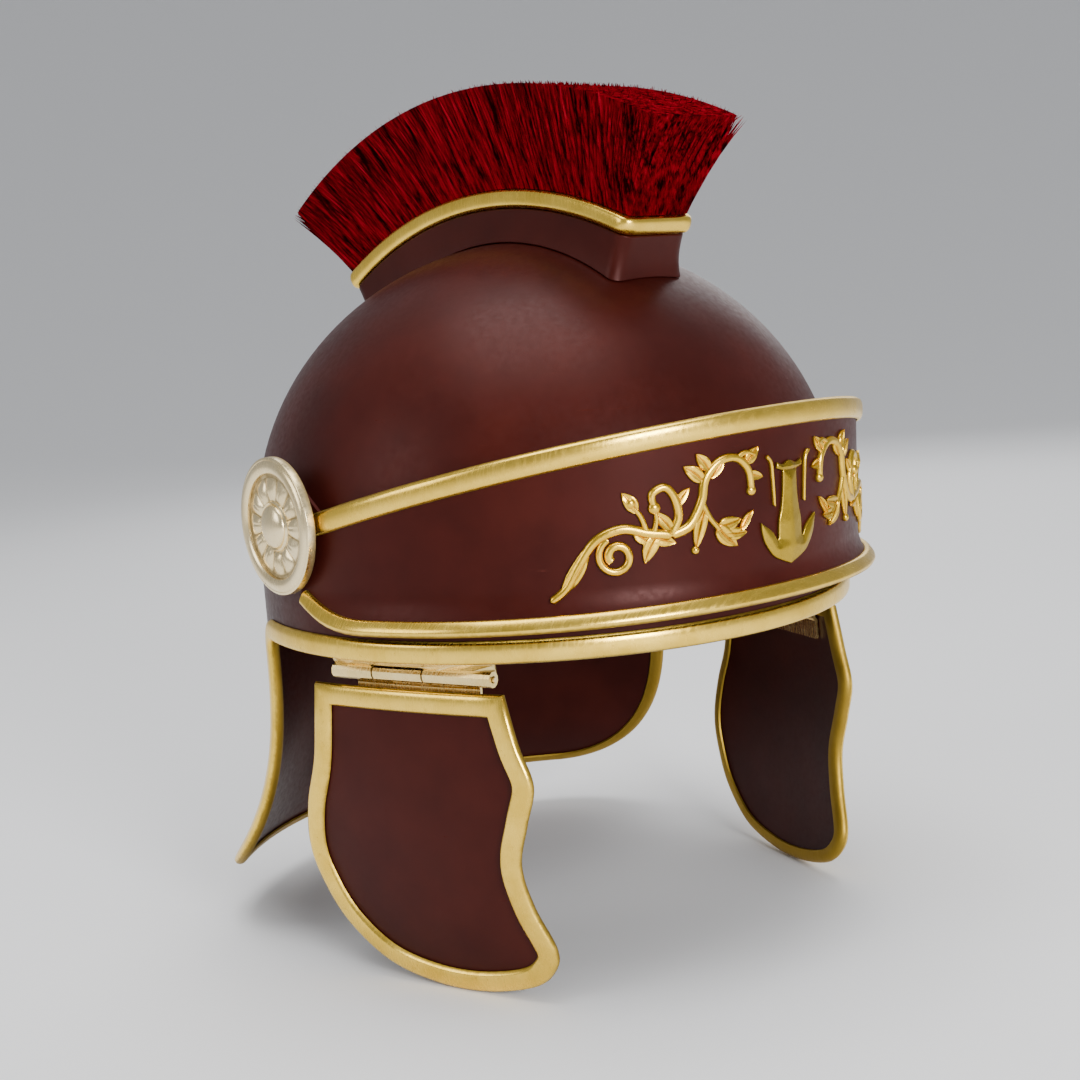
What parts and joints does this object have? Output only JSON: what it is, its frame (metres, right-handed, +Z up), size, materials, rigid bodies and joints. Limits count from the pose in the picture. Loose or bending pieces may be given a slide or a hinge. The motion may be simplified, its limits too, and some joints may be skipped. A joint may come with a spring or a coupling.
{
  "type": "roman helmet",
  "caption": "Roman officer's helmet with neck guard, pivoting brow guard with anchor and vine relief, hinged cheek pieces, ear discs and a fore-and-aft horsehair crest.",
  "frame": {"origin": "on the bowl's vertical axis, in the plane of the bowl's front rim: where the helmet sits on a head", "axes": "-Y out of the helmet's face, +X to the wearer's left, +Z up"},
  "size_m": [0.2624, 0.2864, 0.3449],
  "materials": {
    "bowl": "dark reddish brown, satin",
    "rim_edging": "polished gold colour with darker olive shade",
    "crest_box": "wood stained or painted dark reddish brown, satin",
    "crest_band": "polished gold colour with darker olive shade",
    "plume": "deep red dyed horsehair, matt, with dark streaks between the locks",
    "ear_disc_right": "polished gold colour with darker olive shade",
    "hinge_leaf_right": "polished gold colour with darker olive shade",
    "hinge_pin_right": "polished gold colour with darker olive shade",
    "ear_disc_left": "polished gold colour with darker olive shade",
    "hinge_leaf_left": "polished gold colour with darker olive shade",
    "hinge_pin_left": "polished gold colour with darker olive shade",
    "brow_guard": "dark reddish brown, satin",
    "brow_rim": "polished gold colour with darker olive shade",
    "brow_bead": "polished gold colour with darker olive shade",
    "anchor": "cast relief, aged gold, satin",
    "scroll_right": "cast relief, aged gold, satin",
    "scroll_left": "cast relief, aged gold, satin",
    "cheek_plate_right": "dark reddish brown, satin",
    "cheek_edging_right": "polished gold colour with darker olive shade",
    "cheek_leaf_right": "polished gold colour with darker olive shade",
    "cheek_plate_left": "dark reddish brown, satin",
    "cheek_edging_left": "polished gold colour with darker olive shade",
    "cheek_leaf_left": "polished gold colour with darker olive shade"
  },
  "bodies": {
    "helmet": {"bowl": "bowl", "rim_edging": "rim_edging", "crest_box": "crest_box", "crest_band": "crest_band", "plume": "plume", "ear_disc_right": "ear_disc_right", "hinge_leaf_right": "hinge_leaf_right", "hinge_pin_right": "hinge_pin_right", "ear_disc_left": "ear_disc_left", "hinge_leaf_left": "hinge_leaf_left", "hinge_pin_left": "hinge_pin_left"},
    "brow": {"brow_guard": "brow_guard", "brow_rim": "brow_rim", "brow_bead": "brow_bead", "anchor": "anchor", "scroll_right": "scroll_right", "scroll_left": "scroll_left"},
    "cheek_right": {"cheek_plate_right": "cheek_plate_right", "cheek_edging_right": "cheek_edging_right", "cheek_leaf_right": "cheek_leaf_right"},
    "cheek_left": {"cheek_plate_left": "cheek_plate_left", "cheek_edging_left": "cheek_edging_left", "cheek_leaf_left": "cheek_leaf_left"}
  },
  "joints": [
    {"name": "brow_pivot", "type": "hinge", "parent": "helmet", "child": "brow", "pos_m": [0, 0.012, 0.05], "axis": [-1, 0, 0], "range_deg": [0, 30]},
    {"name": "cheek_hinge_right", "type": "hinge", "parent": "helmet", "child": "cheek_right", "pos_m": [-0.10549, -0.03701, -0.006], "axis": [-0.2756, 0.9613, 0], "range_deg": [-35, 85]},
    {"name": "cheek_hinge_left", "type": "hinge", "parent": "helmet", "child": "cheek_left", "pos_m": [0.10549, -0.03701, -0.006], "axis": [-0.2756, -0.9613, 0], "range_deg": [-35, 85]}
  ]
}
